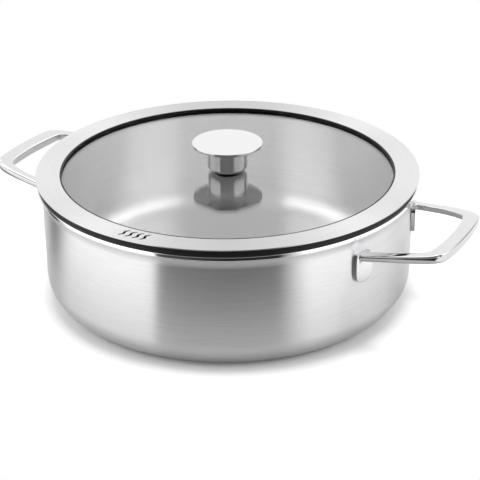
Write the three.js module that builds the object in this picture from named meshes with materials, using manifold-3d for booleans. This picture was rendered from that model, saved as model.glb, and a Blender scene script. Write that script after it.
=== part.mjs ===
// Low saute pan with two loop handles and a flat glass lid.
// Millimetres, +Z up. The origin is on the table under the middle of the pan.
// The handles lie along X, and the lid's steam slots face -Y.
import * as THREE from 'three';
import { mergeVertices } from 'three/addons/utils/BufferGeometryUtils.js';
import Module from 'manifold-3d';

// Pan: one clad sheet, drawn to a round pan with a turned-out lip
const PAN_INNER_RADIUS = 140;
const PAN_SHEET = 2.5;
const PAN_HEIGHT = 93.5;
const PAN_CORNER_RADIUS = 19.5;
const LIP_BEND_RADIUS = 3.6;
const LIP_FLAT = 2;
const LIP_FACE = 4;
const FLARE_HEIGHT = 4.7;
const FLARE_REACH = 1.6;

// Handles: a flat loop that rises outwards, on two tongue-shaped pads
const HANDLE_BELOW_LIP = 15.5;
const HANDLE_RISE_DEGREES = 6.4;
const HANDLE_REACH = 52.4;
const HANDLE_THICKNESS = 6;
const HANDLE_EDGE = 0.9;
const GRIP_WIDTH = 11.4;
const GRIP_HALF_LENGTH = 41.5;
const GRIP_CORNER_TRIM = 11;
const HOLE_CORNER_TRIM = 8;
const ARM_ROOT_HALF_SPAN = 50.4;
const ARM_ROOT_WIDTH = 5.6;
const ARM_TIP_WIDTH = 6.7;
const ARM_SHOULDER = 25;
const ARM_INNER_SHOULDER = 15.5;
const PAD_WIDTH = 18.6;
const PAD_HEIGHT = 20.2;
const PAD_THICKNESS = 3.5;
const PAD_BELOW_TOP = 2.5;
const PAD_OUTSIDE_ARM = 1.5;
const WELD_GAP = 0.3;

// Lid: steel ring on a silicone seal that holds the glass
const RING_OVERHANG = 1.2;
const RING_WIDTH = 18.3;
const RING_SHEET = 0.8;
const RING_EDGE_DROP = 0.4;
const RING_EDGE_ROUND = 0.5;
const SLOT_COUNT = 4;
const SLOT_PITCH = 5.6;
const SLOT_LENGTH = 10;
const SLOT_LEAN = 2.6;
const SLOT_WAVE = 0.85;
const SLOT_WIDTH = 1.9;
const SEAL_HEIGHT = 5.2;
const SEAL_WALL = 1.1;
const SEAL_BAND = 4.9;
const SEAL_BAND_DRAFT = 0.5;
const SEAL_GROOVE = 0.6;
const SEAL_LIP = 1.7;
const SEAL_LIP_REACH = 1.2;
const SEAL_BEAD_REACH = 0.4;
const SEAL_SKIRT_DEPTH = 5.3;
const SEAL_SKIRT_WIDTH = 4;
const SEAL_SKIRT_DRAFT = 0.3;
const SEAL_SKIRT_CLEARANCE = 1.4;
const STEAM_CHANNEL_DEPTH = 3.2;
const STEAM_THROAT_COUNT = 6;
const STEAM_THROAT_LENGTH = 12;
const STEAM_THROAT_WIDTH = 1.4;
const GLASS_THICKNESS = 4;
const GLASS_GRIP = 2.7;
const GLASS_BELOW_RING = 1;
const GLASS_EDGE = 0.5;

// Knob and the pieces that clamp it to the glass
const KNOB_HEIGHT = 21.6;
const KNOB_DISC_RADIUS = 26.9;
const KNOB_DISC_EDGE = 1.5;
const KNOB_DISC_TAPER = 1.4;
const KNOB_DISC_ROUND = 0.5;
const KNOB_STEM_RADIUS = 14.8;
const KNOB_STEM_ROUND = 3.2;
const KNOB_NECK_ROUND = 0.8;
const GASKET_THICKNESS = 0.8;
const GASKET_INSET = 0.6;
const BUSH_WALL = 1.2;
const BUSH_FLANGE = 5.5;
const BUSH_FLANGE_THICKNESS = 0.8;
const WASHER_RADIUS = 8.5;
const WASHER_THICKNESS = 1.2;
const SCREW_RADIUS = 3;
const SCREW_HEAD_RADIUS = 5.5;
const SCREW_HEAD_HEIGHT = 2.7;
const SCREW_HEAD_ROUND = 1.1;
const SCREW_GRIP = 11.5;
const SCREW_TIP_CHAMFER = 0.6;
const SCREW_TIP_ROOM = 2;
const DRIVE_LENGTH = 5.6;
const DRIVE_WIDTH = 1.2;
const DRIVE_DEPTH = 1.5;

// Gap between pieces that pass through or fit round each other
const FIT_GAP = 0.3;

// How finely round shapes are cut
const WIDE_SEGMENTS = 60;
const KNOB_SEGMENTS = 40;
const SMALL_SEGMENTS = 32;
const ARC_DIVISIONS = 3;
const OUTLINE_DIVISIONS = 6;
const WAVE_STEPS = 10;
const CAP_STEPS = 3;
// How far a cutting shape runs past what it cuts
const CUT_MARGIN = 1;

// Radii and heights that several pieces share
const wallRadius = PAN_INNER_RADIUS + PAN_SHEET;
const lipRadius = PAN_INNER_RADIUS + LIP_BEND_RADIUS + LIP_FLAT;
const ringRadius = lipRadius + RING_OVERHANG;
const ringInnerRadius = ringRadius - RING_WIDTH;
const ringUnderside = PAN_HEIGHT + SEAL_HEIGHT;
const ringTop = ringUnderside + RING_SHEET;
const sealRadius = ringRadius - RING_SHEET - FIT_GAP;
const glassRadius = ringInnerRadius + GLASS_GRIP;
const glassTop = ringUnderside - GLASS_BELOW_RING;
const glassUnderside = glassTop - GLASS_THICKNESS;
const channelInnerRadius = glassRadius + FIT_GAP + SEAL_WALL;
const channelOuterRadius = sealRadius - SEAL_BAND;
const screwHoleRadius = SCREW_RADIUS + FIT_GAP;
const bushRadius = screwHoleRadius + BUSH_WALL;
const glassHoleRadius = bushRadius + FIT_GAP;
const knobBase = glassTop + GASKET_THICKNESS;
const screwTip = knobBase + SCREW_GRIP;
const bushUnderside = glassUnderside - BUSH_FLANGE_THICKNESS;
const washerUnderside = bushUnderside - WASHER_THICKNESS;

const wasm = await Module();
wasm.setup();

// A closed geometry with shared vertices and no triangle that has lost its area on the axis
function closed(geometry) {
  const bare = geometry.index ? geometry.toNonIndexed() : geometry.clone();
  bare.deleteAttribute('normal');
  bare.deleteAttribute('uv');
  const merged = mergeVertices(bare, 1e-4);
  const corners = merged.index.array;
  const kept = [];
  for (let i = 0; i < corners.length; i += 3) {
    const [a, b, c] = corners.slice(i, i + 3);
    if (a !== b && b !== c && c !== a) {
      kept.push(a, b, c);
    }
  }
  merged.setIndex(kept);
  return merged;
}

function toSolid(geometry) {
  const merged = closed(geometry);
  const mesh = new wasm.Mesh({
    numProp: 3,
    vertProperties: new Float32Array(merged.attributes.position.array),
    triVerts: new Uint32Array(merged.index.array),
  });
  return new wasm.Manifold(mesh);
}

function toGeometry(solid) {
  const mesh = solid.getMesh();
  const geometry = new THREE.BufferGeometry();
  geometry.setAttribute('position', new THREE.BufferAttribute(mesh.vertProperties, 3));
  geometry.setIndex(new THREE.BufferAttribute(mesh.triVerts, 1));
  return geometry;
}

// Turns a closed outline about Z. Its x is the radius and its y the height, and it runs anticlockwise.
function revolve(outline, segments) {
  const points = outline.getPoints(ARC_DIVISIONS);
  const geometry = new THREE.LatheGeometry(points, segments);
  geometry.rotateX(Math.PI / 2);
  return closed(geometry);
}

// An outline with straight sides, from [radius, height] corners
function polygon(corners) {
  const outline = new THREE.Path();
  outline.moveTo(...corners[0]);
  for (const corner of corners.slice(1)) {
    outline.lineTo(...corner);
  }
  return outline;
}

// The outline of a flat ring between two radii and two heights
function ringOutline(inner, outer, low, high) {
  return polygon([[inner, low], [outer, low], [outer, high], [inner, high], [inner, low]]);
}

// Pan: flat base, round corner, straight wall that flares to a deep lip, flat on top as a seat for the seal
function makePan() {
  const cornerCentre = PAN_INNER_RADIUS - PAN_CORNER_RADIUS;
  const cornerHeight = PAN_SHEET + PAN_CORNER_RADIUS;
  const outerCorner = PAN_CORNER_RADIUS + PAN_SHEET;
  const bendCentre = PAN_INNER_RADIUS + LIP_BEND_RADIUS;
  const bendHeight = PAN_HEIGHT - LIP_BEND_RADIUS;
  const lipUnderside = PAN_HEIGHT - LIP_FACE;
  const outline = new THREE.Path();
  outline.moveTo(0, 0);
  outline.lineTo(cornerCentre, 0);
  outline.absarc(cornerCentre, cornerHeight, outerCorner, -Math.PI / 2, 0, false);
  outline.lineTo(wallRadius, lipUnderside - FLARE_HEIGHT);
  outline.lineTo(wallRadius + FLARE_REACH, lipUnderside);
  outline.lineTo(lipRadius, lipUnderside);
  outline.lineTo(lipRadius, PAN_HEIGHT);
  outline.lineTo(bendCentre, PAN_HEIGHT);
  outline.absarc(bendCentre, bendHeight, LIP_BEND_RADIUS, Math.PI / 2, Math.PI, false);
  outline.lineTo(PAN_INNER_RADIUS, cornerHeight);
  outline.absarc(cornerCentre, cornerHeight, PAN_CORNER_RADIUS, 0, -Math.PI / 2, true);
  outline.lineTo(0, PAN_SHEET);
  return revolve(outline, WIDE_SEGMENTS);
}

// Loop of a handle, seen from above: two arms that widen outwards and a grip that follows the pan
function loopShape() {
  const gripRadius = wallRadius + HANDLE_REACH;
  const holeRadius = gripRadius - GRIP_WIDTH;
  const holeHalfLength = GRIP_HALF_LENGTH - ARM_TIP_WIDTH;
  const innerRoot = ARM_ROOT_HALF_SPAN - ARM_ROOT_WIDTH;
  const root = Math.sqrt(wallRadius ** 2 - ARM_ROOT_HALF_SPAN ** 2) - PAD_THICKNESS;
  const shoulder = wallRadius + ARM_SHOULDER;
  const innerShoulder = wallRadius + ARM_INNER_SHOULDER;
  const corner = new THREE.Vector2(Math.sqrt(gripRadius ** 2 - GRIP_HALF_LENGTH ** 2), GRIP_HALF_LENGTH);
  const holeCorner = new THREE.Vector2(Math.sqrt(holeRadius ** 2 - holeHalfLength ** 2), holeHalfLength);
  // Where each rounded corner starts on the arm and ends on the grip's arc
  const armEnd = new THREE.Vector2(shoulder, ARM_ROOT_HALF_SPAN).sub(corner);
  armEnd.setLength(GRIP_CORNER_TRIM).add(corner);
  const holeArmEnd = new THREE.Vector2(innerShoulder, innerRoot).sub(holeCorner);
  holeArmEnd.setLength(HOLE_CORNER_TRIM).add(holeCorner);
  const gripAngle = Math.asin((GRIP_HALF_LENGTH - GRIP_CORNER_TRIM) / gripRadius);
  const holeAngle = Math.asin((holeHalfLength - HOLE_CORNER_TRIM) / holeRadius);
  const gripEnd = new THREE.Vector2(gripRadius, 0).rotateAround(new THREE.Vector2(), -gripAngle);
  const holeEnd = new THREE.Vector2(holeRadius, 0).rotateAround(new THREE.Vector2(), holeAngle);

  const shape = new THREE.Shape();
  shape.moveTo(root, -ARM_ROOT_HALF_SPAN);
  shape.quadraticCurveTo(shoulder, -ARM_ROOT_HALF_SPAN, armEnd.x, -armEnd.y);
  shape.quadraticCurveTo(corner.x, -corner.y, gripEnd.x, gripEnd.y);
  shape.absarc(0, 0, gripRadius, -gripAngle, gripAngle, false);
  shape.quadraticCurveTo(corner.x, corner.y, armEnd.x, armEnd.y);
  shape.quadraticCurveTo(shoulder, ARM_ROOT_HALF_SPAN, root, ARM_ROOT_HALF_SPAN);
  shape.lineTo(root, innerRoot);
  shape.quadraticCurveTo(innerShoulder, innerRoot, holeArmEnd.x, holeArmEnd.y);
  shape.quadraticCurveTo(holeCorner.x, holeCorner.y, holeEnd.x, holeEnd.y);
  shape.absarc(0, 0, holeRadius, holeAngle, -holeAngle, true);
  shape.quadraticCurveTo(holeCorner.x, -holeCorner.y, holeArmEnd.x, -holeArmEnd.y);
  shape.quadraticCurveTo(innerShoulder, -innerRoot, root, -innerRoot);
  shape.closePath();
  return shape;
}

// Extrudes a shape from z = 0 to z = depth, with all its edges eased by the same amount
function eased(shape, depth, edge, curveSegments) {
  const geometry = new THREE.ExtrudeGeometry(shape, {
    depth: depth - 2 * edge,
    bevelThickness: edge,
    bevelSize: edge,
    bevelOffset: -edge,
    bevelSegments: 2,
    curveSegments,
  });
  geometry.translate(0, 0, edge);
  return geometry;
}

// Pad of a handle: a tongue with a round lower end, against the wall where the arm's root lands
function makePad(side, top) {
  const half = PAD_WIDTH / 2;
  const halfSpan = ARM_ROOT_HALF_SPAN - ARM_ROOT_WIDTH / 2 + PAD_OUTSIDE_ARM;
  const angle = side * Math.asin(halfSpan / wallRadius);
  const shape = new THREE.Shape();
  shape.moveTo(-half, 0);
  shape.lineTo(-half, half - PAD_HEIGHT);
  shape.absarc(0, half - PAD_HEIGHT, half, Math.PI, 2 * Math.PI, false);
  shape.lineTo(half, 0);
  shape.closePath();
  const geometry = eased(shape, 2 * PAD_THICKNESS, HANDLE_EDGE, OUTLINE_DIVISIONS);
  geometry.rotateX(Math.PI / 2);
  geometry.rotateZ(Math.PI / 2);
  geometry.translate(wallRadius - PAD_THICKNESS, 0, top);
  geometry.rotateZ(angle);
  return geometry;
}

function makeHandle() {
  const top = PAN_HEIGHT - HANDLE_BELOW_LIP;
  const rise = THREE.MathUtils.degToRad(HANDLE_RISE_DEGREES);
  const loop = eased(loopShape(), HANDLE_THICKNESS, HANDLE_EDGE, OUTLINE_DIVISIONS);
  loop.translate(-wallRadius, 0, -HANDLE_THICKNESS);
  loop.rotateY(-rise);
  loop.translate(wallRadius, 0, top);
  const wall = new THREE.CylinderGeometry(
    wallRadius + WELD_GAP,
    wallRadius + WELD_GAP,
    2 * PAN_HEIGHT,
    WIDE_SEGMENTS,
  );
  wall.rotateX(Math.PI / 2);
  let handle = toSolid(loop);
  for (const side of [-1, 1]) {
    handle = handle.add(toSolid(makePad(side, top - PAD_BELOW_TOP)));
  }
  return toGeometry(handle.subtract(toSolid(wall)));
}

// Steam slot: a wave that runs outwards along x and leans towards -y, with round ends
function slotShape() {
  const half = SLOT_WIDTH / 2;
  const run = SLOT_LENGTH - SLOT_WIDTH;
  const middle = (t) => new THREE.Vector2(
    run * (t - 0.5),
    -SLOT_LEAN * (t - 0.5) - SLOT_WAVE * Math.sin(2 * Math.PI * t),
  );
  const heading = (t) => -Math.atan2(SLOT_LEAN + 2 * Math.PI * SLOT_WAVE * Math.cos(2 * Math.PI * t), run);
  const beside = (t, turn) => {
    const angle = heading(t) + turn;
    return middle(t).add(new THREE.Vector2(half * Math.cos(angle), half * Math.sin(angle)));
  };
  const points = [];
  for (let i = 0; i <= WAVE_STEPS; i += 1) {
    points.push(beside(i / WAVE_STEPS, -Math.PI / 2));
  }
  for (let i = 1; i < CAP_STEPS; i += 1) {
    points.push(beside(1, -Math.PI / 2 + Math.PI * i / CAP_STEPS));
  }
  for (let i = WAVE_STEPS; i >= 0; i -= 1) {
    points.push(beside(i / WAVE_STEPS, Math.PI / 2));
  }
  for (let i = 1; i < CAP_STEPS; i += 1) {
    points.push(beside(0, Math.PI / 2 + Math.PI * i / CAP_STEPS));
  }
  return new THREE.Shape(points);
}

// Steel ring: thin flat sheet, its outer edge turned down over the seal, with the steam slots cut through
function makeRing() {
  const edgeBottom = ringUnderside - RING_EDGE_DROP;
  const round = RING_EDGE_ROUND;
  const outline = new THREE.Path();
  outline.moveTo(ringInnerRadius, ringUnderside);
  outline.lineTo(ringRadius - RING_SHEET, ringUnderside);
  outline.lineTo(ringRadius - RING_SHEET, edgeBottom);
  outline.lineTo(ringRadius, edgeBottom);
  outline.lineTo(ringRadius, ringTop - round);
  outline.quadraticCurveTo(ringRadius, ringTop, ringRadius - round, ringTop);
  outline.lineTo(ringInnerRadius + round, ringTop);
  outline.quadraticCurveTo(ringInnerRadius, ringTop, ringInnerRadius, ringTop - round);
  outline.closePath();
  let ring = toSolid(revolve(outline, WIDE_SEGMENTS));
  const slotRadius = (channelInnerRadius + channelOuterRadius) / 2;
  for (let i = 0; i < SLOT_COUNT; i += 1) {
    const along = (i - (SLOT_COUNT - 1) / 2) * SLOT_PITCH;
    const slot = new THREE.ExtrudeGeometry(slotShape(), {
      depth: RING_SHEET + 2 * CUT_MARGIN,
      bevelEnabled: false,
    });
    slot.translate(slotRadius, 0, ringUnderside - CUT_MARGIN);
    slot.rotateZ(along / slotRadius - Math.PI / 2);
    ring = ring.subtract(toSolid(slot));
  }
  return toGeometry(ring);
}

// Seal: holds the edge of the glass, rests on the pan's lip and carries the ring over a steam channel
function makeSeal() {
  const grooveRadius = glassRadius + FIT_GAP;
  const lipEdge = ringInnerRadius - SEAL_LIP_REACH;
  const lipUnderside = glassUnderside - SEAL_LIP;
  const beadEdge = ringInnerRadius - SEAL_BEAD_REACH;
  const channelFloor = ringUnderside - STEAM_CHANNEL_DEPTH;
  const skirtRadius = PAN_INNER_RADIUS - SEAL_SKIRT_CLEARANCE;
  const skirtInnerRadius = skirtRadius - SEAL_SKIRT_WIDTH;
  const skirtBottom = PAN_HEIGHT - SEAL_SKIRT_DEPTH;
  const grooveHeight = PAN_HEIGHT + SEAL_HEIGHT / 2;
  const outline = polygon([
    [lipEdge, lipUnderside],
    [skirtInnerRadius, lipUnderside],
    [skirtInnerRadius + SEAL_SKIRT_DRAFT, skirtBottom],
    [skirtRadius - SEAL_SKIRT_DRAFT, skirtBottom],
    [skirtRadius, PAN_HEIGHT],
    [sealRadius - SEAL_BAND_DRAFT, PAN_HEIGHT],
    [sealRadius, grooveHeight - SEAL_GROOVE],
    [sealRadius - SEAL_GROOVE, grooveHeight],
    [sealRadius, grooveHeight + SEAL_GROOVE],
    [sealRadius, ringUnderside],
    [channelOuterRadius, ringUnderside],
    [channelOuterRadius, channelFloor],
    [channelInnerRadius, channelFloor],
    [channelInnerRadius, ringUnderside],
    [beadEdge, ringUnderside],
    [beadEdge, glassTop],
    [grooveRadius, glassTop],
    [grooveRadius, glassUnderside],
    [lipEdge, glassUnderside],
    [lipEdge, lipUnderside],
  ]);
  let seal = toSolid(revolve(outline, WIDE_SEGMENTS));
  const throatHeight = channelFloor - lipUnderside + 2 * CUT_MARGIN;
  const throatRadius = (channelInnerRadius + skirtInnerRadius) / 2;
  for (let i = 0; i < STEAM_THROAT_COUNT; i += 1) {
    const throat = new THREE.BoxGeometry(STEAM_THROAT_WIDTH, STEAM_THROAT_LENGTH, throatHeight);
    throat.translate(throatRadius, 0, lipUnderside - CUT_MARGIN + throatHeight / 2);
    throat.rotateZ(2 * Math.PI * (i + 0.5) / STEAM_THROAT_COUNT);
    seal = seal.subtract(toSolid(throat));
  }
  return toGeometry(seal);
}

// Glass: flat disc with ground edges and a hole for the knob's screw
function makeGlass() {
  const outline = polygon([
    [glassHoleRadius, glassUnderside],
    [glassRadius - GLASS_EDGE, glassUnderside],
    [glassRadius, glassUnderside + GLASS_EDGE],
    [glassRadius, glassTop - GLASS_EDGE],
    [glassRadius - GLASS_EDGE, glassTop],
    [glassHoleRadius, glassTop],
    [glassHoleRadius, glassUnderside],
  ]);
  return revolve(outline, WIDE_SEGMENTS);
}

// Knob: thin flat disc on a round stem, with a blind hole for the screw
function makeKnob() {
  const top = knobBase + KNOB_HEIGHT;
  const discEdge = top - KNOB_DISC_EDGE;
  const neck = discEdge - KNOB_DISC_TAPER;
  const holeTop = screwTip + SCREW_TIP_ROOM;
  const outline = new THREE.Path();
  outline.moveTo(0, holeTop);
  outline.lineTo(screwHoleRadius, holeTop);
  outline.lineTo(screwHoleRadius, knobBase);
  outline.lineTo(KNOB_STEM_RADIUS - KNOB_STEM_ROUND, knobBase);
  outline.absarc(
    KNOB_STEM_RADIUS - KNOB_STEM_ROUND,
    knobBase + KNOB_STEM_ROUND,
    KNOB_STEM_ROUND,
    -Math.PI / 2,
    0,
    false,
  );
  outline.lineTo(KNOB_STEM_RADIUS, neck - KNOB_NECK_ROUND);
  outline.quadraticCurveTo(KNOB_STEM_RADIUS, neck, KNOB_STEM_RADIUS + KNOB_NECK_ROUND, neck);
  outline.lineTo(KNOB_DISC_RADIUS, discEdge);
  outline.lineTo(KNOB_DISC_RADIUS, top - KNOB_DISC_ROUND);
  outline.quadraticCurveTo(KNOB_DISC_RADIUS, top, KNOB_DISC_RADIUS - KNOB_DISC_ROUND, top);
  outline.lineTo(0, top);
  return revolve(outline, KNOB_SEGMENTS);
}

function makeGasket() {
  const radius = KNOB_STEM_RADIUS - KNOB_STEM_ROUND - GASKET_INSET;
  return revolve(ringOutline(screwHoleRadius, radius, glassTop, knobBase), SMALL_SEGMENTS);
}

// Bush: a sleeve in the hole of the glass, with a flange under it
function makeBush() {
  const flangeRadius = bushRadius + BUSH_FLANGE;
  const sleeveTop = glassTop - FIT_GAP;
  const outline = polygon([
    [screwHoleRadius, bushUnderside],
    [flangeRadius, bushUnderside],
    [flangeRadius, glassUnderside],
    [bushRadius, glassUnderside],
    [bushRadius, sleeveTop],
    [screwHoleRadius, sleeveTop],
    [screwHoleRadius, bushUnderside],
  ]);
  return revolve(outline, SMALL_SEGMENTS);
}

function makeWasher() {
  const outline = ringOutline(screwHoleRadius, WASHER_RADIUS, washerUnderside, bushUnderside);
  return revolve(outline, SMALL_SEGMENTS);
}

// Screw: round head with a cross recess, under the lid, and a shank up into the knob
function makeScrew() {
  const headBottom = washerUnderside - SCREW_HEAD_HEIGHT;
  const outline = new THREE.Path();
  outline.moveTo(0, headBottom);
  outline.lineTo(SCREW_HEAD_RADIUS - SCREW_HEAD_ROUND, headBottom);
  outline.quadraticCurveTo(SCREW_HEAD_RADIUS, headBottom, SCREW_HEAD_RADIUS, headBottom + SCREW_HEAD_ROUND);
  outline.lineTo(SCREW_HEAD_RADIUS, washerUnderside);
  outline.lineTo(SCREW_RADIUS, washerUnderside);
  outline.lineTo(SCREW_RADIUS, screwTip - SCREW_TIP_CHAMFER);
  outline.lineTo(SCREW_RADIUS - SCREW_TIP_CHAMFER, screwTip);
  outline.lineTo(0, screwTip);
  let screw = toSolid(revolve(outline, SMALL_SEGMENTS));
  for (const turn of [0, Math.PI / 2]) {
    const blade = new THREE.BoxGeometry(DRIVE_LENGTH, DRIVE_WIDTH, 2 * DRIVE_DEPTH);
    blade.rotateZ(turn);
    blade.translate(0, 0, headBottom);
    screw = screw.subtract(toSolid(blade));
  }
  return toGeometry(screw);
}

const BRUSHED_STEEL = { color: 0xc4c6c8, roughness: 0.32, metalness: 1 };
const POLISHED_STEEL = { color: 0xdcdde0, roughness: 0.08, metalness: 1 };
const BLACK_SILICONE = { color: 0x161617, roughness: 0.55, metalness: 0 };
const CLEAR_GLASS = { color: 0xe6efec, roughness: 0.02, metalness: 0, transparent: true, opacity: 0.3 };

const part = new THREE.Group();

function place(name, geometry, look) {
  const mesh = new THREE.Mesh(geometry, new THREE.MeshStandardMaterial(look));
  mesh.name = name;
  part.add(mesh);
  return mesh;
}

place('pan_body', makePan(), BRUSHED_STEEL);
place('handle_right', makeHandle(), POLISHED_STEEL);
const leftHandle = place('handle_left', makeHandle(), POLISHED_STEEL);
leftHandle.rotation.z = Math.PI;
place('lid_seal', makeSeal(), BLACK_SILICONE);
place('lid_glass', makeGlass(), CLEAR_GLASS);
place('lid_ring', makeRing(), BRUSHED_STEEL);
place('knob', makeKnob(), POLISHED_STEEL);
place('knob_gasket', makeGasket(), BLACK_SILICONE);
place('knob_bush', makeBush(), BLACK_SILICONE);
place('knob_washer', makeWasher(), POLISHED_STEEL);
place('knob_screw', makeScrew(), POLISHED_STEEL);

export default part;
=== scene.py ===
from math import asin, atan2, cos, pi, radians, sin

import bmesh
import bpy
from mathutils import Matrix, Vector


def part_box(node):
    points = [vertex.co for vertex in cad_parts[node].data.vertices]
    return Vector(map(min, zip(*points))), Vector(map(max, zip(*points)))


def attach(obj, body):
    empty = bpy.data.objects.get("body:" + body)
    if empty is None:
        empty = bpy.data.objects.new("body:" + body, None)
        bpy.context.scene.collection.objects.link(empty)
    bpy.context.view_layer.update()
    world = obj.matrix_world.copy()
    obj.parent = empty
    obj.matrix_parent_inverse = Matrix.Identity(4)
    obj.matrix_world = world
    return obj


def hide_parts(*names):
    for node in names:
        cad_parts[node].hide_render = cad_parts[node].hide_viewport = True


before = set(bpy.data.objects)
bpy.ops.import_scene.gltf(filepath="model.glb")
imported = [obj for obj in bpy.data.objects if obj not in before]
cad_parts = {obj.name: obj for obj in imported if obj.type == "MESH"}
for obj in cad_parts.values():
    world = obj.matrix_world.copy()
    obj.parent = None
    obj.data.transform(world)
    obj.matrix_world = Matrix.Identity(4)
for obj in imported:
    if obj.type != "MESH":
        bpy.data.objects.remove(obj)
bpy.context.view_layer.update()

# Pan
# One round of clad sheet, steel over an aluminium core, deep drawn with a round bottom corner.
# The sheet is brushed round on a lathe, inside and out, and the lip is turned out and polished.
SHEET = 0.0025
PAN_INNER_RADIUS = 0.140
PAN_INNER_CORNER = 0.0195
LIP_FACE = 0.0034
LIP_BEND = 0.0036
LIP_EDGE_ROUND = 0.0009
LIP_TOP_ROUND = 0.0006
LIP_GROOVE = 0.0006
FLARE_HEIGHT = 0.0040
FLARE_REACH = 0.0017
FLARE_BEND = 0.0032
# Rounding of an edge that is only broken, on any piece
FINE_ROUND = 0.0002
WIDE_STEPS = 192
# A rounded corner has five steps, and one more for each whole millimetre of its rounding
CORNER_STEPS = 5
CORNER_STEP_LENGTH = 0.001
MERGE_DISTANCE = 1e-6

pan_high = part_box("pan_body")[1]
lip_radius = pan_high.x
pan_height = pan_high.z
wall_radius = PAN_INNER_RADIUS + SHEET
lip_underside = pan_height - LIP_FACE
flare_radius = wall_radius + FLARE_REACH


def turned(corners, steps):
    """Turns a profile of (radius, height, rounding) corners about Z, closed if it keeps off the axis."""
    bm = bmesh.new()
    verts = [bm.verts.new((radius, 0, height)) for radius, height, rounding in corners]
    closing = [] if corners[0][0] == 0 else [verts[0]]
    for start, end in zip(verts, verts[1:] + closing):
        bm.edges.new((start, end))
    for vert, (radius, height, rounding) in zip(verts, corners):
        if rounding:
            bmesh.ops.bevel(
                bm,
                geom=[vert],
                offset=rounding,
                segments=CORNER_STEPS + int(rounding / CORNER_STEP_LENGTH),
                profile=0.5,
                affect="VERTICES",
                material=-1,
            )
    bmesh.ops.spin(
        bm,
        geom=bm.verts[:] + bm.edges[:],
        cent=(0, 0, 0),
        axis=(0, 0, 1),
        angle=2 * pi,
        steps=steps,
        use_merge=True,
    )
    bmesh.ops.remove_doubles(bm, verts=bm.verts, dist=MERGE_DISTANCE)
    bmesh.ops.recalc_face_normals(bm, faces=bm.faces)
    return bm


pan_mesh = turned(
    [
        (0, 0, 0),
        (wall_radius, 0, PAN_INNER_CORNER + SHEET),
        (wall_radius, lip_underside - FLARE_HEIGHT, FLARE_BEND),
        (flare_radius, lip_underside - LIP_GROOVE, FINE_ROUND),
        (flare_radius - LIP_GROOVE, lip_underside, 0),
        (lip_radius, lip_underside, LIP_EDGE_ROUND),
        (lip_radius, pan_height, LIP_TOP_ROUND),
        (PAN_INNER_RADIUS, pan_height, LIP_BEND),
        (PAN_INNER_RADIUS, SHEET, PAN_INNER_CORNER),
        (0, SHEET, 0),
    ],
    WIDE_STEPS,
)

# Strength and depth of the brush lines' relief
BRUSH_RELIEF = 0.05
BRUSH_DEPTH = 0.00004
# Size of a trace of the buffing wheel, and the share by which it changes the roughness
BUFFING_TRACE = 0.012
BUFFING_SPREAD = 0.3
# The range that nearly all of a noise texture's values lie in
NOISE_LOW = 0.3
NOISE_HIGH = 0.7


def linear(hex_colour):
    """An sRGB hex colour as linear red, green, blue and alpha."""
    shades = [int(hex_colour[start:start + 2], 16) / 255 for start in (1, 3, 5)]
    return [shade / 12.92 if shade <= 0.04045 else ((shade + 0.055) / 1.055) ** 2.4 for shade in shades] + [1]


def add_node(tree, kind, inputs=None, **settings):
    """Adds a node with its settings, and fills each input with a value or a link."""
    node = tree.nodes.new(kind)
    for name, value in settings.items():
        setattr(node, name, value)
    for key, value in (inputs or {}).items():
        if isinstance(value, bpy.types.NodeSocket):
            tree.links.new(value, node.inputs[key])
        else:
            node.inputs[key].default_value = value
    return node


def new_material(name):
    """An empty node material with its output."""
    material = bpy.data.materials.new(name)
    material.use_nodes = True
    tree = material.node_tree
    tree.nodes.clear()
    return material, tree, add_node(tree, "ShaderNodeOutputMaterial")


def brushed_steel(name, light, dark, roughness, line_length, line_spacing):
    """Stainless steel brushed in circles: grey lines round the piece, and gloss smeared across them.
    Real brush lines are about 0.1 mm apart, too fine to show, so they are drawn coarser."""
    material, tree, output = new_material(name)
    place = add_node(tree, "ShaderNodeTexCoord").outputs["Object"]
    axes = add_node(tree, "ShaderNodeSeparateXYZ", {0: place}).outputs
    flat = add_node(tree, "ShaderNodeVectorMath", {0: place, 1: (1, 1, 0)}, operation="MULTIPLY")
    radius = add_node(tree, "ShaderNodeVectorMath", {0: flat.outputs["Vector"]}, operation="LENGTH")
    across = add_node(tree, "ShaderNodeMath", {0: radius.outputs["Value"], 1: axes["Z"]}, operation="ADD")
    stretched = add_node(
        tree,
        "ShaderNodeMath",
        {0: across.outputs[0], 1: line_length / line_spacing},
        operation="MULTIPLY",
    )
    along = add_node(tree, "ShaderNodeCombineXYZ", {0: axes["X"], 1: axes["Y"], 2: stretched.outputs[0]})
    lines = add_node(
        tree,
        "ShaderNodeTexNoise",
        {"Vector": along.outputs[0], "Scale": 1 / line_length, "Detail": 3, "Roughness": 0.7},
    ).outputs["Fac"]
    colour = add_node(
        tree,
        "ShaderNodeMix",
        {"Factor": lines, "A": linear(dark), "B": linear(light)},
        data_type="RGBA",
    )
    relief = add_node(
        tree,
        "ShaderNodeBump",
        {"Height": lines, "Strength": BRUSH_RELIEF, "Distance": BRUSH_DEPTH},
    )
    shader = add_node(
        tree,
        "ShaderNodeBsdfPrincipled",
        {
            "Base Color": colour.outputs["Result"],
            "Metallic": 1,
            "Roughness": roughness,
            "Anisotropic": 1,
            "Anisotropic Rotation": 0.25,
            "Normal": relief.outputs["Normal"],
        },
    )
    tree.links.new(shader.outputs["BSDF"], output.inputs["Surface"])
    return material


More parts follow.
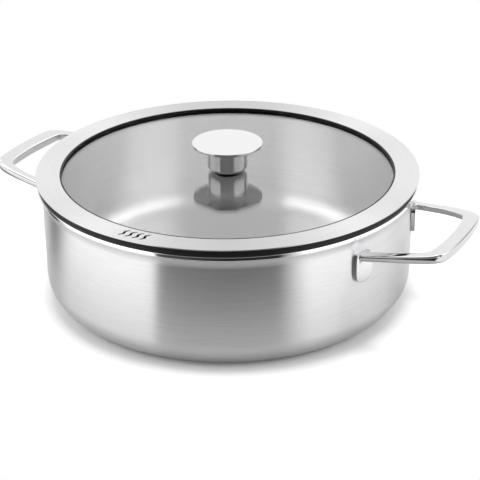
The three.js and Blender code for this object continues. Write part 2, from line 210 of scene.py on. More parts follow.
def polished_steel(name, light, dark, roughness):
    """Stainless steel from the buffing wheel: clear reflections, or softer ones where it is left satin,
    with faint soft traces of the wheel in its colour and gloss."""
    material, tree, output = new_material(name)
    place = add_node(tree, "ShaderNodeTexCoord").outputs["Object"]
    traces = add_node(
        tree,
        "ShaderNodeTexNoise",
        {"Vector": place, "Scale": 1 / BUFFING_TRACE, "Detail": 4, "Roughness": 0.6},
    ).outputs["Fac"]
    colour = add_node(
        tree,
        "ShaderNodeMix",
        {"Factor": traces, "A": linear(dark), "B": linear(light)},
        data_type="RGBA",
    )
    gloss = add_node(
        tree,
        "ShaderNodeMapRange",
        {
            "Value": traces,
            "From Min": NOISE_LOW,
            "From Max": NOISE_HIGH,
            "To Min": roughness * (1 - BUFFING_SPREAD),
            "To Max": roughness * (1 + BUFFING_SPREAD),
        },
    )
    shader = add_node(
        tree,
        "ShaderNodeBsdfPrincipled",
        {"Base Color": colour.outputs["Result"], "Metallic": 1, "Roughness": gloss.outputs["Result"]},
    )
    tree.links.new(shader.outputs["BSDF"], output.inputs["Surface"])
    return material


# The wall draws the room's light out into soft upright bands, under faint level lines
wall_steel = brushed_steel(
    "Brushed stainless steel, wall",
    light="#E1E1E2",
    dark="#C9C9CA",
    roughness=0.30,
    line_length=0.030,
    line_spacing=0.0009,
)
# The inside is the wall's steel painted paler, as painted light that makes up for the dim light reaching it
# through the glass, with longer and coarser lines
inside_steel_painted_paler = brushed_steel(
    "Brushed stainless steel, inside",
    light="#EFEFF0",
    dark="#CFCFD0",
    roughness=0.29,
    line_length=0.040,
    line_spacing=0.0012,
)
# The lip is a narrow mirror under the seal
lip_polish = polished_steel("Polished stainless steel, lip", light="#E6E6E7", dark="#E0E0E1", roughness=0.05)
pan_steels = [wall_steel, inside_steel_painted_paler, lip_polish]

mouth = Vector((0, 0, pan_height))
for face in pan_mesh.faces:
    centre = face.calc_center_median()
    if centre.z > lip_underside:
        face.material_index = pan_steels.index(lip_polish)
    elif face.normal.dot(mouth - centre) > 0:
        face.material_index = pan_steels.index(inside_steel_painted_paler)

CRISP_ANGLE = radians(50)


def shown(name, bm):
    """Puts a finished bmesh in the scene as a smooth object with crisp corners."""
    mesh = bpy.data.meshes.new(name)
    bm.to_mesh(mesh)
    bm.free()
    mesh.shade_smooth()
    mesh.set_sharp_from_angle(angle=CRISP_ANGLE)
    piece = bpy.data.objects.new(name, mesh)
    bpy.context.scene.collection.objects.link(piece)
    return piece


def fit(piece, node, body, slot, *materials):
    """Gives a piece its materials and puts it in the place of its CAD node."""
    for material in materials:
        piece.data.materials.append(material)
    even = piece.modifiers.new("Even normals", "WEIGHTED_NORMAL")
    even.keep_sharp = True
    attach(piece, body)
    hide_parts(node)


pan = shown("pan", pan_mesh)
fit(pan, "pan_body", "pan", "clad_steel", *pan_steels)

# Handles
# Two cast steel loops that rise a little outwards, polished to a mirror.
# Each runs at both ends into a tongue-shaped pad with a satin face, which is spot welded to the wall.
HANDLE_TOP = 0.078
HANDLE_RISE = radians(6.4)
PAD_MIDDLE = 0.0479
PAD_THICKNESS = 0.0027
# Cage of the pad: places across it, off its middle, and heights from its tip up
PAD_TIP_ACROSS = (-0.0072, -0.0030, 0.0030, 0.0072)
PAD_ACROSS = (-0.0093, -0.0050, 0.0064, 0.0080)
PAD_TIP = 0.0546
PAD_TIP_CORNER = 0.0570
PAD_ROUND = 0.0640
PAD_NECK = 0.0724
PAD_SHOULDER = 0.0768
# Cage of the bar, from the pad to the middle of the grip: outer x and y, inner x and y, thickness
BAR_STATIONS = [
    (0.1361, 0.0551, 0.1396, 0.0447, 0.0058),
    (0.1450, 0.0533, 0.1470, 0.0438, 0.0058),
    (0.1560, 0.0512, 0.1545, 0.0430, 0.0059),
    (0.1660, 0.0495, 0.1625, 0.0416, 0.0062),
    (0.1755, 0.0473, 0.1705, 0.0390, 0.0067),
    (0.1852, 0.0443, 0.1768, 0.0360, 0.0073),
    (0.1910, 0.0399, 0.1803, 0.0325, 0.0078),
    (0.1934, 0.0326, 0.1816, 0.0262, 0.0080),
    (0.1948, 0.0170, 0.1828, 0.0140, 0.0080),
    (0.1953, 0.0000, 0.1835, 0.0000, 0.0080),
]
ARM_END = 0.191
GRIP_START = 0.1948
# Share of the width that the underside is narrower by on each side
ARM_TAPER = 0.18
GRIP_TAPER = 0.03
# Creases of the cage, from 0 for round to 1 for sharp
TOP_CREASE = 0.50
ARM_OUTER_CREASE = 0.30
ARM_BELLY_CREASE = 0.05
GRIP_BELLY_CREASE = 0.30
PAD_BACK_CREASE = 1
PAD_FRONT_CREASE = 0.90
ROOT_CREASE = 0.50
CREASED_ANGLE = radians(57)
CAST_LEVELS = 4

# The loops mirror the room sharply
handle_polish = polished_steel(
    "Polished stainless steel, handles",
    light="#C1C1C2",
    dark="#BBBBBC",
    roughness=0.05,
)
# The pads' faces only show soft lights and darks
pad_satin = polished_steel("Satin stainless steel, pads", light="#D6D6D7", dark="#D0D0D1", roughness=0.22)
handle_steels = [handle_polish, pad_satin]


def pad_cage(bm):
    """The pad on the wall: the vertices of its back and front, and the face that the bar grows from."""
    middle = asin(PAD_MIDDLE / wall_radius)
    outwards = Vector((cos(middle), sin(middle), 0))
    sideways = Vector((-sin(middle), cos(middle), 0))
    rows = [
        zip(PAD_TIP_ACROSS, (PAD_TIP_CORNER, PAD_TIP, PAD_TIP, PAD_TIP_CORNER)),
        [(across, PAD_ROUND) for across in PAD_ACROSS],
        [(across, PAD_NECK) for across in PAD_ACROSS],
        zip(PAD_ACROSS, (PAD_SHOULDER, HANDLE_TOP, HANDLE_TOP, PAD_SHOULDER)),
    ]
    points = [point for row in rows for point in row]
    back = bmesh.ops.create_grid(bm, x_segments=3, y_segments=3, size=1)["verts"]
    raised = bmesh.ops.extrude_face_region(bm, geom=bm.faces[:])["geom"]
    front = [item for item in raised if isinstance(item, bmesh.types.BMVert)]
    root = max(
        (item for item in raised if isinstance(item, bmesh.types.BMFace)),
        key=lambda face: face.calc_center_median().y - abs(face.calc_center_median().x),
    )
    point_of = {tuple(vert.co): point for vert, point in zip(back, points)}
    for vert in front:
        across, height = point_of[tuple(vert.co)]
        vert.co = outwards * (wall_radius + PAD_THICKNESS) + sideways * across
        vert.co.z = height
    for vert in back:
        across, height = point_of[tuple(vert.co)]
        angle = middle + asin(across / wall_radius)
        vert.co = (wall_radius * cos(angle), wall_radius * sin(angle), height)
    return back, front, root


def bar_section(outer_x, outer_y, inner_x, inner_y, thickness):
    """Corners of the bar's section at a station, keyed by (on top, on the outside)."""
    outer = Vector((outer_x, outer_y, HANDLE_TOP))
    inner = Vector((inner_x, inner_y, HANDLE_TOP))
    down = Vector((0, 0, thickness))
    past_arm = min(1, max(0, (outer_x - ARM_END) / (GRIP_START - ARM_END)))
    taper = ARM_TAPER + (GRIP_TAPER - ARM_TAPER) * past_arm
    corners = {
        (True, True): outer,
        (True, False): inner,
        (False, True): outer.lerp(inner, taper) - down,
        (False, False): inner.lerp(outer, taper) - down,
    }
    pivot = Vector((wall_radius, 0, HANDLE_TOP))
    rise = Matrix.Rotation(-HANDLE_RISE, 3, "Y")
    return {key: pivot + rise @ (corner - pivot) for key, corner in corners.items()}


def draw_out_bar(bm, root):
    """Draws half the bar out of the pad, station by station. Gives its long edges and their creases."""
    neck = root.calc_center_median()
    keys = [(vert.co.z > neck.z, vert.co.y > neck.y) for vert in root.verts]
    long_edges = []
    for station in BAR_STATIONS:
        section = bar_section(*station)
        on_arm = station[0] <= ARM_END
        before = list(root.verts)
        root = bmesh.ops.extrude_discrete_faces(bm, faces=[root])["faces"][0]
        for start, vert, (on_top, outside) in zip(before, root.verts, keys):
            vert.co = section[on_top, outside]
            if not on_top:
                crease = ARM_BELLY_CREASE if on_arm else GRIP_BELLY_CREASE
            elif outside and on_arm:
                crease = ARM_OUTER_CREASE
            else:
                crease = TOP_CREASE
            long_edges.append((bm.edges.get((start, vert)), crease))
    bmesh.ops.delete(bm, geom=[root], context="FACES_ONLY")
    return long_edges


def handle_mesh():
    """The creased cage of half a handle, mirrored."""
    bm = bmesh.new()
    creases = bm.edges.layers.float.new("crease_edge")
    back, front, root = pad_cage(bm)
    for face in bm.faces:
        if face != root and all(vert in front for vert in face.verts):
            face.material_index = handle_steels.index(pad_satin)
    for edge, crease in draw_out_bar(bm, root):
        edge[creases] = crease
    for edge in bm.edges:
        bend = edge.calc_face_angle_signed(0)
        if abs(bend) < CREASED_ANGLE:
            continue
        if all(vert in back for vert in edge.verts):
            edge[creases] = PAD_BACK_CREASE
        elif all(vert in front for vert in edge.verts):
            edge[creases] = PAD_FRONT_CREASE if bend > 0 else ROOT_CREASE
    half = bm.verts[:] + bm.edges[:] + bm.faces[:]
    bmesh.ops.mirror(bm, geom=half, axis="Y", merge_dist=MERGE_DISTANCE)
    bmesh.ops.recalc_face_normals(bm, faces=bm.faces)
    return bm


for name, node, turn in (("right_handle", "handle_right", 0), ("left_handle", "handle_left", pi)):
    loop_mesh = handle_mesh()
    bmesh.ops.rotate(loop_mesh, verts=loop_mesh.verts, matrix=Matrix.Rotation(turn, 3, "Z"))
    loop = shown(name, loop_mesh)
    smooth = loop.modifiers.new("Cast round", "SUBSURF")
    smooth.levels = smooth.render_levels = CAST_LEVELS
    fit(loop, node, "pan", "polished_steel", *handle_steels)

# Lid seal
# A moulded ring of black silicone, satin from the mould, that grips the edge of the glass.
# It lies on the pan's lip, with a skirt inside it, and leads steam into a channel under the steel ring.
SEAL_LIP = 0.0017
SEAL_LIP_REACH = 0.0012
SEAL_LIP_ROUND = 0.0005
SEAL_EDGE_ROUND = 0.0003
BEAD_REACH = 0.0012
BEAD_BELOW_RING = 0.00005
BAND_DRAFT = 0.0002
BAND_ROUND = 0.0004
BAND_GROOVE = 0.0006
SKIRT_CLEARANCE = 0.0014
SKIRT_WIDTH = 0.004
SKIRT_DRAFT = 0.0003
SKIRT_ROUND = 0.0006
CHANNEL_WALL = 0.0011
CHANNEL_BAND = 0.0049
CHANNEL_DEPTH = 0.0032
THROAT_WIDTH = 0.0014
THROAT_COUNT = 6
# Steps of the turned ring that a throat takes up
THROAT_FACES = 4
# Least upright share of a level face's normal
NEARLY_LEVEL = 0.99
RING_SHEET = 0.0005
RING_WIDTH = 0.0183
GLASS_CLEARANCE = 0.00005
GLASS_SIDE_CLEARANCE = 0.0003
# The glass's upper face is lower than in the CAD by this, so the bead shows as deep as in the photograph
GLASS_SINK = 0.0005

seal_low, seal_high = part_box("lid_seal")
glass_low, glass_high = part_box("lid_glass")
ring_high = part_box("lid_ring")[1]
seal_radius = seal_high.x
glass_radius = glass_high.x
ring_radius = ring_high.x
ring_inner_radius = ring_radius - RING_WIDTH
ring_top = ring_high.z
ring_underside = ring_top - RING_SHEET
glass_top = glass_high.z - GLASS_SINK
glass_groove_radius = glass_radius + GLASS_SIDE_CLEARANCE
bead_radius = ring_inner_radius - GLASS_CLEARANCE
bead_edge = ring_inner_radius - BEAD_REACH
bead_top = ring_top - BEAD_BELOW_RING
band_groove_height = (pan_height + ring_underside) / 2
seal_lip_edge = ring_inner_radius - SEAL_LIP_REACH
seal_lip_underside = glass_low.z - SEAL_LIP
skirt_outer = PAN_INNER_RADIUS - SKIRT_CLEARANCE
skirt_inner = skirt_outer - SKIRT_WIDTH
channel_inner = glass_groove_radius + CHANNEL_WALL
channel_outer = seal_radius - CHANNEL_BAND
channel_floor = ring_underside - CHANNEL_DEPTH
throat_middle = (channel_inner + skirt_inner) / 2
throat_inner = throat_middle - THROAT_WIDTH / 2
throat_outer = throat_middle + THROAT_WIDTH / 2

seal_mesh = turned(
    [
        (seal_lip_edge, seal_lip_underside, SEAL_LIP_ROUND),
        (throat_inner, seal_lip_underside, 0),
        (throat_outer, seal_lip_underside, 0),
        (skirt_inner, seal_lip_underside, FINE_ROUND),
        (skirt_inner + SKIRT_DRAFT, seal_low.z, SKIRT_ROUND),
        (skirt_outer - SKIRT_DRAFT, seal_low.z, SKIRT_ROUND),
        (skirt_outer, pan_height, BAND_ROUND),
        (seal_radius - BAND_DRAFT, pan_height, BAND_ROUND),
        (seal_radius, band_groove_height - BAND_GROOVE, SEAL_EDGE_ROUND),
        (seal_radius - BAND_GROOVE, band_groove_height, FINE_ROUND),
        (seal_radius, band_groove_height + BAND_GROOVE, SEAL_EDGE_ROUND),
        (seal_radius, ring_underside, 0),
        (channel_outer, ring_underside, 0),
        (channel_outer, channel_floor, SEAL_EDGE_ROUND),
        (throat_outer, channel_floor, 0),
        (throat_inner, channel_floor, 0),
        (channel_inner, channel_floor, 0),
        (channel_inner, ring_underside, 0),
        (bead_radius, ring_underside, 0),
        (bead_radius, bead_top, 0),
        (bead_edge, bead_top, FINE_ROUND),
        (bead_edge, glass_top + GLASS_CLEARANCE, FINE_ROUND),
        (glass_groove_radius, glass_top + GLASS_CLEARANCE, 0),
        (glass_groove_radius, glass_low.z - GLASS_CLEARANCE, 0),
        (seal_lip_edge, glass_low.z - GLASS_CLEARANCE, SEAL_EDGE_ROUND),
    ],
    WIDE_STEPS,
)
throat_half_angle = THROAT_FACES * pi / WIDE_STEPS
for number in range(THROAT_COUNT):
    throat_angle = 2 * pi * (number + 0.5) / THROAT_COUNT
    covers = []
    for face in seal_mesh.faces:
        centre = face.calc_center_median()
        off = abs((atan2(centre.y, centre.x) - throat_angle + pi) % (2 * pi) - pi)
        level = abs(face.normal.z) > NEARLY_LEVEL
        if level and off < throat_half_angle and throat_inner < centre.xy.length < throat_outer:
            covers.append(face)
    bmesh.ops.delete(seal_mesh, geom=covers, context="FACES")
    rims = [edge for edge in seal_mesh.edges if edge.is_boundary]
    bmesh.ops.bridge_loops(seal_mesh, edges=rims)
bmesh.ops.recalc_face_normals(seal_mesh, faces=seal_mesh.faces)

SILICONE_IOR = 1.41
GRAIN_SPREAD = 0.06
GRAIN_RELIEF = 0.1
GRAIN_DEPTH = 0.00003


def moulded_silicone(name, colour, roughness, grain):
    """Silicone rubber, compression moulded: near black, with a soft satin sheen from the mould's grain.
    The real grain is about 0.05 mm wide, too fine to show, so it is drawn coarser."""
    material, tree, output = new_material(name)
    place = add_node(tree, "ShaderNodeTexCoord").outputs["Object"]
    grains = add_node(
        tree,
        "ShaderNodeTexNoise",
        {"Vector": place, "Scale": 1 / grain, "Detail": 2},
    ).outputs["Fac"]
    gloss = add_node(
        tree,
        "ShaderNodeMapRange",
        {
            "Value": grains,
            "From Min": NOISE_LOW,
            "From Max": NOISE_HIGH,
            "To Min": roughness - GRAIN_SPREAD,
            "To Max": roughness + GRAIN_SPREAD,
        },
    )
    relief = add_node(
        tree,
        "ShaderNodeBump",
        {"Height": grains, "Strength": GRAIN_RELIEF, "Distance": GRAIN_DEPTH},
    )
    shader = add_node(
        tree,
        "ShaderNodeBsdfPrincipled",
        {
            "Base Color": linear(colour),
            "Roughness": gloss.outputs["Result"],
            "IOR": SILICONE_IOR,
            "Specular IOR Level": 0.35,
            "Normal": relief.outputs["Normal"],
        },
    )
    tree.links.new(shader.outputs["BSDF"], output.inputs["Surface"])
    return material


silicone = moulded_silicone("Black silicone, moulded", colour="#101011", roughness=0.45, grain=0.0006)
seal = shown("seal", seal_mesh)
fit(seal, "lid_seal", "seal", "black_silicone", silicone)

# Lid glass
# A flat disc of clear tempered soda-lime glass with ground edges.
# It is drilled in the middle for the knob's screw, and its edge lies in the seal's groove.
GLASS_HOLE = 0.0048
GLASS_EDGE = 0.0005
# Soda-lime glass has about 1.52. A little more makes the pale veil on it as strong as in the photograph
GLASS_IOR = 1.58

glass_mesh = turned(
    [
        (GLASS_HOLE, glass_low.z, 0),
        (glass_radius, glass_low.z, GLASS_EDGE),
        (glass_radius, glass_top, GLASS_EDGE),
        (GLASS_HOLE, glass_top, 0),
    ],
    WIDE_STEPS,
)


def float_glass(name, colour):
    """Soda-lime glass: clear, and a mirror at a flat angle, where the backdrop lies on it as a veil."""
    material, tree, output = new_material(name)
    shader = add_node(
        tree,
        "ShaderNodeBsdfPrincipled",
        {"Base Color": linear(colour), "Roughness": 0, "IOR": GLASS_IOR, "Transmission Weight": 1},
    )
    tree.links.new(shader.outputs["BSDF"], output.inputs["Surface"])
    return material


clear_glass = float_glass("Tempered soda-lime glass", "#FCFCFC")
glass = shown("glass", glass_mesh)
fit(glass, "lid_glass", "lid", "clear_glass", clear_glass)

# Lid ring
# A flat ring pressed from thin stainless sheet and brushed round, its outer edge turned down over the seal.
# Wave-shaped slots, punched through at the front, let the steam out.
RING_EDGE_DROP = 0.0002
RING_EDGE_ROUND = 0.0003
SLOT_COUNT = 4
SLOT_PITCH = 0.0056
SLOT_LENGTH = 0.0100
SLOT_WIDTH = 0.0020
SLOT_LEAN = 0.0026
SLOT_WAVE = 0.00085
SLOT_COLUMNS = 40
PUNCH_HEIGHT = 4 * RING_SHEET

ring_mesh = turned(
    [
        (ring_inner_radius, ring_underside, 0),
        (ring_radius - RING_SHEET, ring_underside, 0),
        (ring_radius - RING_SHEET, ring_underside - RING_EDGE_DROP, 0),
        (ring_radius, ring_underside - RING_EDGE_DROP, FINE_ROUND),
        (ring_radius, ring_top, RING_EDGE_ROUND),
        (ring_inner_radius, ring_top, RING_EDGE_ROUND),
    ],
    WIDE_STEPS,
)


def slot_punches():
    """A wavy upright blade with round ends for each steam slot, side by side at the front of the ring."""
    bm = bmesh.new()
    slot_radius = (channel_inner + channel_outer) / 2
    for number in range(SLOT_COUNT):
        blade = bmesh.ops.create_grid(bm, x_segments=SLOT_COLUMNS, y_segments=1, size=1)["verts"]
        for vert in blade:
            along = SLOT_LENGTH / 2 * -cos(pi * (vert.co.x + 1) / 2)
            past_end = max(0, abs(along) - (SLOT_LENGTH - SLOT_WIDTH) / 2)
            half_width = max(0, (SLOT_WIDTH / 2) ** 2 - past_end ** 2) ** 0.5
            turn = along / (SLOT_LENGTH - SLOT_WIDTH)
            lean = SLOT_LEAN * turn - SLOT_WAVE * sin(2 * pi * turn)
            vert.co = (along, vert.co.y * half_width - lean, 0)
        bmesh.ops.remove_doubles(bm, verts=blade, dist=MERGE_DISTANCE)
        outline = [vert for vert in bm.verts if vert.co.z == 0]
        flat = [face for face in bm.faces if all(vert.co.z == 0 for vert in face.verts)]
        raised = bmesh.ops.extrude_face_region(bm, geom=flat)["geom"]
        tops = [item for item in raised if isinstance(item, bmesh.types.BMVert)]
        bmesh.ops.translate(bm, verts=tops, vec=(0, 0, PUNCH_HEIGHT))
        angle = (number - (SLOT_COUNT - 1) / 2) * SLOT_PITCH / slot_radius - pi / 2
        below = Matrix.Translation((slot_radius, 0, ring_underside - RING_SHEET))
        bmesh.ops.transform(bm, matrix=Matrix.Rotation(angle, 4, "Z") @ below, verts=outline + tops)
    bmesh.ops.recalc_face_normals(bm, faces=bm.faces)
    return bm


def cut(piece, cutter_mesh):
    """Cuts a shape out of a piece."""
    cutter = shown("cutter", cutter_mesh)
    boolean = piece.modifiers.new("Cut", "BOOLEAN")
    boolean.object = cutter
    boolean.operation = "DIFFERENCE"
    graph = bpy.context.evaluated_depsgraph_get()
    result = bpy.data.meshes.new_from_object(piece.evaluated_get(graph))
    piece.modifiers.remove(boolean)
    piece.data = result
    bpy.data.objects.remove(cutter)
    piece.data.set_sharp_from_angle(angle=CRISP_ANGLE)


# The ring's flat top takes on an even grey, with faint circles in it
ring_steel = brushed_steel(
    "Brushed stainless steel, ring",
    light="#C9C9CA",
    dark="#BDBDBE",
    roughness=0.28,
    line_length=0.040,
    line_spacing=0.0009,
)
ring = shown("ring", ring_mesh)
cut(ring, slot_punches())
fit(ring, "lid_ring", "lid", "ring_steel", ring_steel)

# Knob
# A turned and polished steel mushroom: a thin flat disc on a round stem with a rounded foot.
# A blind hole from below takes the screw that clamps it to the glass.
KNOB_STEPS = 128
KNOB_STEM_RADIUS = 0.0154
KNOB_STEM_ROUND = 0.0032
KNOB_NECK_ROUND = 0.0008
KNOB_DISC_EDGE = 0.0021
KNOB_DISC_TAPER = 0.0002
KNOB_DISC_ROUND = 0.0004
SCREW_HOLE_RADIUS = 0.0033
SCREW_ROOM = 0.002

knob_low, knob_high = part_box("knob")
screw_low, screw_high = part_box("knob_screw")
disc_underside = knob_high.z - KNOB_DISC_EDGE
neck_height = disc_underside - KNOB_DISC_TAPER

knob_mesh = turned(
    [
        (0, screw_high.z + SCREW_ROOM, 0),
        (SCREW_HOLE_RADIUS, screw_high.z + SCREW_ROOM, 0),
        (SCREW_HOLE_RADIUS, knob_low.z, 0),
        (KNOB_STEM_RADIUS, knob_low.z, KNOB_STEM_ROUND),
        (KNOB_STEM_RADIUS, neck_height, KNOB_NECK_ROUND),
        (knob_high.x, disc_underside, FINE_ROUND),
        (knob_high.x, knob_high.z, KNOB_DISC_ROUND),
        (0, knob_high.z, 0),
    ],
    KNOB_STEPS,
)
# The knob is the finest mirror on the lid
knob_steel = polished_steel("Polished stainless steel, knob", light="#CACACB", dark="#C6C6C7", roughness=0.04)
knob = shown("mushroom_knob", knob_mesh)
fit(knob, "knob", "lid", "polished_steel", knob_steel)

# Knob fixings
# A silicone gasket between knob and glass, a silicone bush through the glass, a steel washer,
# and a round-headed screw with a cross recess that pulls the stack together from below.
SMALL_STEPS = 64
BUSH_WALL = 0.0012
BUSH_FLANGE_THICKNESS = 0.0008
SCREW_RADIUS = 0.003
SCREW_HEAD_ROUND = 0.0011
SCREW_TIP_ROUND = 0.0006
DRIVE_LENGTH = 0.0056
DRIVE_WIDTH = 0.0012
DRIVE_DEPTH = 0.0015
DRIVE_TURN = radians(20)

gasket_low, gasket_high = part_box("knob_gasket")
gasket_low.z -= GLASS_SINK
bush_low, bush_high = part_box("knob_bush")
washer_low, washer_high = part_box("knob_washer")
bush_radius = SCREW_HOLE_RADIUS + BUSH_WALL
bush_seat = bush_low.z + BUSH_FLANGE_THICKNESS - GLASS_CLEARANCE


def flat_ring(low, high):
    """A flat ring round the screw that fills a CAD box."""
    return turned(
        [
            (SCREW_HOLE_RADIUS, low.z, 0),
            (high.x, low.z, FINE_ROUND),
            (high.x, high.z, FINE_ROUND),
            (SCREW_HOLE_RADIUS, high.z, 0),
        ],
        SMALL_STEPS,
    )


bush_mesh = turned(
    [
        (SCREW_HOLE_RADIUS, bush_low.z, 0),
        (bush_high.x, bush_low.z, FINE_ROUND),
        (bush_high.x, bush_seat, FINE_ROUND),
        (bush_radius, bush_seat, 0),
        (bush_radius, bush_high.z, 0),
        (SCREW_HOLE_RADIUS, bush_high.z, 0),
    ],
    SMALL_STEPS,
)
screw_mesh = turned(
    [
        (0, screw_low.z, 0),
        (screw_high.x, screw_low.z, SCREW_HEAD_ROUND),
        (screw_high.x, washer_low.z, FINE_ROUND),
        (SCREW_RADIUS, washer_low.z, 0),
        (SCREW_RADIUS, screw_high.z, SCREW_TIP_ROUND),
        (0, screw_high.z, 0),
    ],
    SMALL_STEPS,
)

# The cross that cuts the recess grows out of a square core, half of it above the head's face and half below
drive_mesh = bmesh.new()
core_size = Matrix.Diagonal((DRIVE_WIDTH, DRIVE_WIDTH, 2 * DRIVE_DEPTH, 1))
bmesh.ops.create_cube(drive_mesh, size=1, matrix=Matrix.Translation((0, 0, screw_low.z)) @ core_size)
drive_mesh.normal_update()
core_sides = [face for face in drive_mesh.faces if abs(face.normal.z) < NEARLY_LEVEL]
for arm in bmesh.ops.extrude_discrete_faces(drive_mesh, faces=core_sides)["faces"]:
    bmesh.ops.translate(drive_mesh, verts=arm.verts, vec=arm.normal * (DRIVE_LENGTH - DRIVE_WIDTH) / 2)
bmesh.ops.rotate(drive_mesh, verts=drive_mesh.verts, matrix=Matrix.Rotation(DRIVE_TURN, 3, "Z"))
bmesh.ops.recalc_face_normals(drive_mesh, faces=drive_mesh.faces)

# The washer and screw are bright but not polished, with soft lights
fastener_steel = polished_steel(
    "Bright stainless steel, fasteners",
    light="#CFCFD1",
    dark="#C6C6C8",
    roughness=0.22,
)
gasket = shown("gasket", flat_ring(gasket_low, gasket_high))
fit(gasket, "knob_gasket", "lid", "black_silicone", silicone)
bush = shown("bush", bush_mesh)
fit(bush, "knob_bush", "lid", "black_silicone", silicone)
washer = shown("washer", flat_ring(washer_low, washer_high))
fit(washer, "knob_washer", "lid", "fastener_steel", fastener_steel)
screw = shown("screw", screw_mesh)
cut(screw, drive_mesh)
fit(screw, "knob_screw", "lid", "fastener_steel", fastener_steel)

# Studio
# A round white table top under a soft lamp, between two large soft screens, with a white backdrop behind.
# The room is dim above, and darker in front, behind the camera, as the polished steel shows.
TABLE_RADIUS = 0.238
TABLE_WHITE = "#FFFFFF"
TABLE_GREY = "#C4C4C4"
LAMP_SIZE = 1.6
LAMP_HEIGHT = 5
LAMP_POWER = 155
CAMERA_AZIMUTH = radians(28.6)
# Heights in the room, as angles above the table, and how softly its parts meet there
HORIZON = radians(-3)
HORIZON_BLUR = radians(8)
WALL_MIDDLE = radians(37)
WALL_BLUR = radians(12)
SCREEN_TOP = radians(52)
SCREEN_TOP_BLUR = radians(6)
# Brightness of the room's parts, low and high on its walls, where 1 is white
CEILING_LEVEL = 0.28
SCREENS_LOW = 1.80
SCREENS_HIGH = 3.00
BACKDROP_LOW = 1.45
BACKDROP_HIGH = 2.40
FRONT_LOW = 0.22
FRONT_HIGH = 0.40
LEFT_GAP = 0.30
RIGHT_GAP = 0.20


def upper_room(backdrop, screens, front):
    """The room above the table, as angles in degrees to the right of the camera and brightness there."""
    return [
        (-180, backdrop),
        (-139, backdrop),
        (-133, LEFT_GAP),
        (-125, LEFT_GAP),
        (-112, screens),
        (-45, screens),
        (-43, front),
        (30, front),
        (47, screens),
        (106, screens),
        (119, RIGHT_GAP),
        (128, RIGHT_GAP),
        (138, backdrop),
        (180, backdrop),
    ]


# The same below the level of the table, for what the wall and the bottom corner mirror
LOWER_ROOM = [
    (-180, 0.60),
    (-140, 0.80),
    (-134, 0.12),
    (-125, 0.12),
    (-110, 1.45),
    (-45, 1.60),
    (-43, 0.10),
    (0, 0.02),
    (30, 0.03),
    (48, 1.55),
    (139, 1.30),
    (180, 0.60),
]


def seen_by_camera(tree):
    """1 for what the camera sees straight or through the lid's glass, and 0 for what it sees mirrored."""
    path = add_node(tree, "ShaderNodeLightPath").outputs
    bounces = add_node(
        tree,
        "ShaderNodeMath",
        {0: path["Glossy Depth"], 1: path["Diffuse Depth"]},
        operation="ADD",
    )
    unmirrored = add_node(tree, "ShaderNodeMath", {0: bounces.outputs[0], 1: 1}, operation="LESS_THAN")
    through = add_node(
        tree,
        "ShaderNodeMath",
        {0: path["Is Transmission Ray"], 1: unmirrored.outputs[0]},
        operation="MULTIPLY",
    )
    seen = add_node(
        tree,
        "ShaderNodeMath",
        {0: path["Is Camera Ray"], 1: through.outputs[0]},
        operation="MAXIMUM",
    )
    return seen.outputs[0]


table_mesh = bmesh.new()
bmesh.ops.create_circle(table_mesh, cap_ends=True, segments=WIDE_STEPS, radius=TABLE_RADIUS)
table = shown("table_top", table_mesh)
# The table is matt white paper, which lights the pan from below as a pale grey
table_paper, table_tree, table_output = new_material("White table top")
paper = add_node(
    table_tree,
    "ShaderNodeMix",
    {"Factor": seen_by_camera(table_tree), "A": linear(TABLE_GREY), "B": linear(TABLE_WHITE)},
    data_type="RGBA",
)
matt = add_node(table_tree, "ShaderNodeBsdfDiffuse", {"Color": paper.outputs["Result"]})
table_tree.links.new(matt.outputs["BSDF"], table_output.inputs["Surface"])
table.data.materials.append(table_paper)

lamp_light = bpy.data.lights.new("soft_lamp", "AREA")
lamp_light.shape = "DISK"
lamp_light.size = LAMP_SIZE
lamp_light.energy = LAMP_POWER
lamp = bpy.data.objects.new("soft_lamp", lamp_light)
lamp.location = (0, 0, LAMP_HEIGHT)
lamp.visible_glossy = False
lamp.visible_transmission = False
bpy.context.scene.collection.objects.link(lamp)

world = bpy.data.worlds.new("Studio")
world.use_nodes = True
bpy.context.scene.world = world
room_tree = world.node_tree
room_tree.nodes.clear()
towards = add_node(room_tree, "ShaderNodeTexCoord").outputs["Generated"]
upwards = add_node(room_tree, "ShaderNodeSeparateXYZ", {0: towards}).outputs["Z"]
facing = add_node(
    room_tree,
    "ShaderNodeMapping",
    {"Vector": towards, "Rotation": (0, 0, pi / 2 - CAMERA_AZIMUTH)},
)
around = add_node(
    room_tree,
    "ShaderNodeTexGradient",
    {"Vector": facing.outputs["Vector"]},
    gradient_type="RADIAL",
)


def room_ring(levels):
    """The room's brightness all round, from pairs of angle and level."""
    ring_of_light = add_node(room_tree, "ShaderNodeValToRGB", {"Fac": around.outputs["Fac"]})
    stops = ring_of_light.color_ramp.elements
    while len(stops) < len(levels):
        stops.new(1)
    for stop, (angle, level) in zip(stops, levels):
        stop.position = (angle + 180) / 360
        stop.color = (level, level, level, 1)
    return ring_of_light.outputs["Color"]


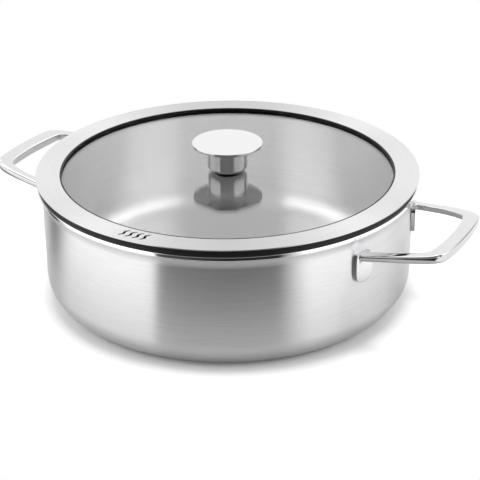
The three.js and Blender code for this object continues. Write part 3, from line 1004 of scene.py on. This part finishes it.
def above(angle, blur, lower, upper):
    """One part of the room over another, parted softly at an angle above the table."""
    share = add_node(
        room_tree,
        "ShaderNodeMapRange",
        {"Value": upwards, "From Min": sin(angle - blur / 2), "From Max": sin(angle + blur / 2)},
    )
    part = add_node(
        room_tree,
        "ShaderNodeMix",
        {"Factor": share.outputs["Result"], "A": lower, "B": upper},
        data_type="RGBA",
    )
    return part.outputs["Result"]


walls = above(
    WALL_MIDDLE,
    WALL_BLUR,
    room_ring(upper_room(BACKDROP_LOW, SCREENS_LOW, FRONT_LOW)),
    room_ring(upper_room(BACKDROP_HIGH, SCREENS_HIGH, FRONT_HIGH)),
)
sides = above(HORIZON, HORIZON_BLUR, room_ring(LOWER_ROOM), walls)
whole_room = above(SCREEN_TOP, SCREEN_TOP_BLUR, sides, [CEILING_LEVEL] * 3 + [1])
mirrored = add_node(room_tree, "ShaderNodeBackground", {"Color": whole_room, "Strength": 1})
white = add_node(room_tree, "ShaderNodeBackground", {"Color": (1, 1, 1, 1), "Strength": 1})
studio = add_node(
    room_tree,
    "ShaderNodeMixShader",
    {0: seen_by_camera(room_tree), 1: mirrored.outputs["Background"], 2: white.outputs["Background"]},
)
add_node(room_tree, "ShaderNodeOutputWorld", {"Surface": studio.outputs["Shader"]})

# Camera
# Placed where a fit to the photograph's ellipses puts it, looking slightly down at the lid.
CAMERA_PLACE = (0.5011, -0.9210, 0.5409)
CAMERA_PITCH = radians(25.67)
CAMERA_YAW = radians(0.55)
CAMERA_ROLL = radians(-0.42)
FOCAL_PIXELS = 1477
IMAGE_PIXELS = 480

lens = bpy.data.cameras.new("camera")
lens.lens = lens.sensor_width * FOCAL_PIXELS / IMAGE_PIXELS
camera = bpy.data.objects.new("camera", lens)
bpy.context.scene.collection.objects.link(camera)
camera.matrix_world = (
    Matrix.Translation(CAMERA_PLACE)
    @ Matrix.Rotation(CAMERA_AZIMUTH - CAMERA_YAW, 4, "Z")
    @ Matrix.Rotation(pi / 2 - CAMERA_PITCH, 4, "X")
    @ Matrix.Rotation(CAMERA_ROLL, 4, "Z")
)
bpy.context.scene.camera = camera
bpy.context.scene.view_settings.view_transform = "Standard"
